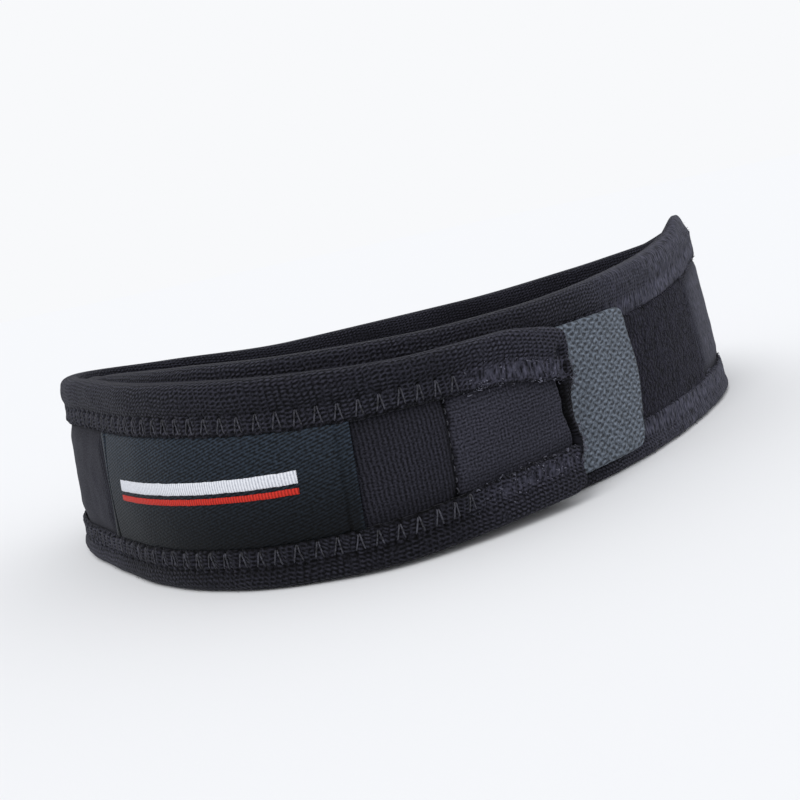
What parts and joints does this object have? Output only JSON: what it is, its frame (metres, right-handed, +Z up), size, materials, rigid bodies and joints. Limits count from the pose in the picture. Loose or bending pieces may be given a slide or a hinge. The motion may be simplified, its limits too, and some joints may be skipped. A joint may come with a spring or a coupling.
{
  "type": "knee strap",
  "caption": "Knit-covered strap worn just below the kneecap, closed into a ring by a hook tab on loop pile, with folded edge bindings and a plain woven label.",
  "frame": {"origin": "middle of the ring's box, on the floor that its lower edge stands on", "axes": "+Z up the leg toward the knee, -Y out of the shin where the free end is fastened, +X to the wearer's left"},
  "size_m": [0.1324, 0.1038, 0.0359],
  "materials": {
    "panel_knit": "matte",
    "tail_knit": "matte",
    "binding_knit": "matte",
    "loop_pile": "matte",
    "hook_tape": "matte",
    "label_weave": "satin"
  },
  "bodies": {
    "root": {"main_panel": "panel_knit", "tail_panel": "tail_knit", "top_binding": "binding_knit", "bottom_binding": "binding_knit", "outer_end_strip": "binding_knit", "inner_end_strip": "binding_knit", "loop_field": "loop_pile", "hook_tab": "hook_tape", "woven_label": "label_weave"}
  },
  "joints": []
}
